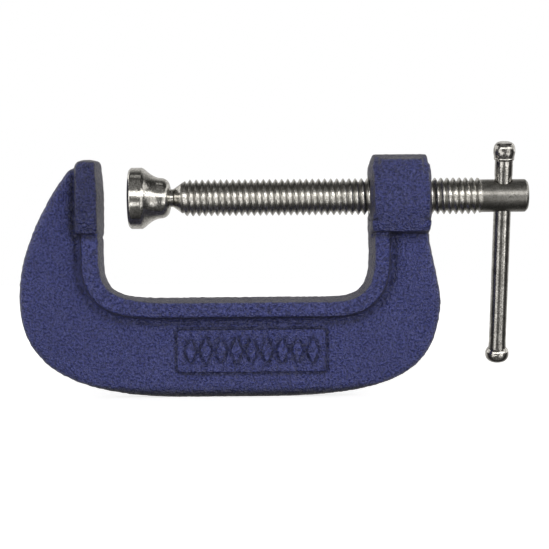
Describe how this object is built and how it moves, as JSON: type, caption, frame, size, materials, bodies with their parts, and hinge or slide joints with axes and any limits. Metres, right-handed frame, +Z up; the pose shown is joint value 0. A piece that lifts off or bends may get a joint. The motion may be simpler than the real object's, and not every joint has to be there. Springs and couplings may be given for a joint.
{
  "type": "c clamp",
  "caption": "Cast C-clamp with a swivel shoe on a threaded spindle, a round threaded boss and a sliding tommy bar.",
  "frame": {"origin": "on the anvil face, where the spindle's axis meets it", "axes": "+X along the spindle from the anvil towards the tommy bar, +Z up out of the throat, +Y across the casting"},
  "size_m": [0.1756, 0.0341, 0.0874],
  "materials": {
    "enamelled_casting": "violet-blue stoved enamel over a sand-cast surface",
    "spindle_steel": "bright plated, rolled thread",
    "shoe_steel": "bright plated, lathe-turned",
    "bar_steel": "bright plated, drawn bar"
  },
  "bodies": {
    "frame": {"frame": "enamelled_casting"},
    "spindle_tip": {"spindle_ball_end": "spindle_steel"},
    "spindle": {"spindle": "spindle_steel"},
    "shoe": {"swivel_shoe": "shoe_steel"},
    "tommy_bar": {"tommy_bar": "bar_steel", "tommy_bar_end_cap": "bar_steel"}
  },
  "joints": [
    {"name": "screw_travel", "type": "slide", "parent": "frame", "child": "spindle_tip", "axis": [1, 0, 0], "range_m": [-0.0075, 0.0677]},
    {"name": "screw_turn", "type": "hinge", "parent": "spindle_tip", "child": "spindle", "pos_m": [0.0271, 0, 0], "axis": [1, 0, 0], "range_deg": [-1280, 11520]},
    {"name": "shoe_swivel", "type": "hinge", "parent": "spindle_tip", "child": "shoe", "pos_m": [0.0205, 0, 0], "axis": [0, 1, 0], "range_deg": [-8, 8]},
    {"name": "tommy_slide", "type": "slide", "parent": "spindle", "child": "tommy_bar", "axis": [0, -0.2924, 0.9563], "range_m": [-0.0065, 0.0475]}
  ],
  "couplings": [
    {"joint": "screw_turn", "follows": "screw_travel", "rad_per_m": 2968.4}
  ]
}
